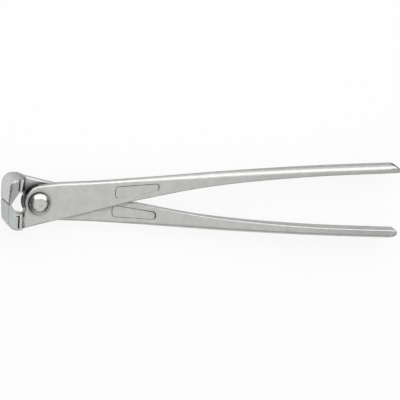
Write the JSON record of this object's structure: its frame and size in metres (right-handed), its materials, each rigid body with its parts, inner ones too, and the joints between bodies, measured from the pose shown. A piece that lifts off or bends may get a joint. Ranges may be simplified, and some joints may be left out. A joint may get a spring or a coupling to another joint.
{
  "type": "concreters nippers",
  "caption": "Long-handled end cutting nippers for tying wire: two forged halves crossing at a riveted lap joint, with broad jaws and slim plain handles.",
  "frame": {"origin": "middle of the flat on the rivet's back head, level with the lowest side of the jaws", "axes": "+X from the rivet along the tool to the handle ends, +Z along the rivet from the back half to the front half, +Y to the front half's handle; the jaws point to -X"},
  "size_m": [0.2493, 0.0464, 0.022],
  "materials": {
    "plated_steel": "bright zinc plating over ground and drop-forged steel",
    "rivet_steel": "bright zinc plating over an upset rivet head"
  },
  "bodies": {
    "rear": {"rear_half": "plated_steel", "rivet": "rivet_steel"},
    "front": {"front_half": "plated_steel"}
  },
  "joints": [
    {"name": "jaw_pivot", "type": "hinge", "parent": "rear", "child": "front", "pos_m": [0, 0, 0.011], "axis": [0, 0, 1], "range_deg": [0, 57]}
  ]
}
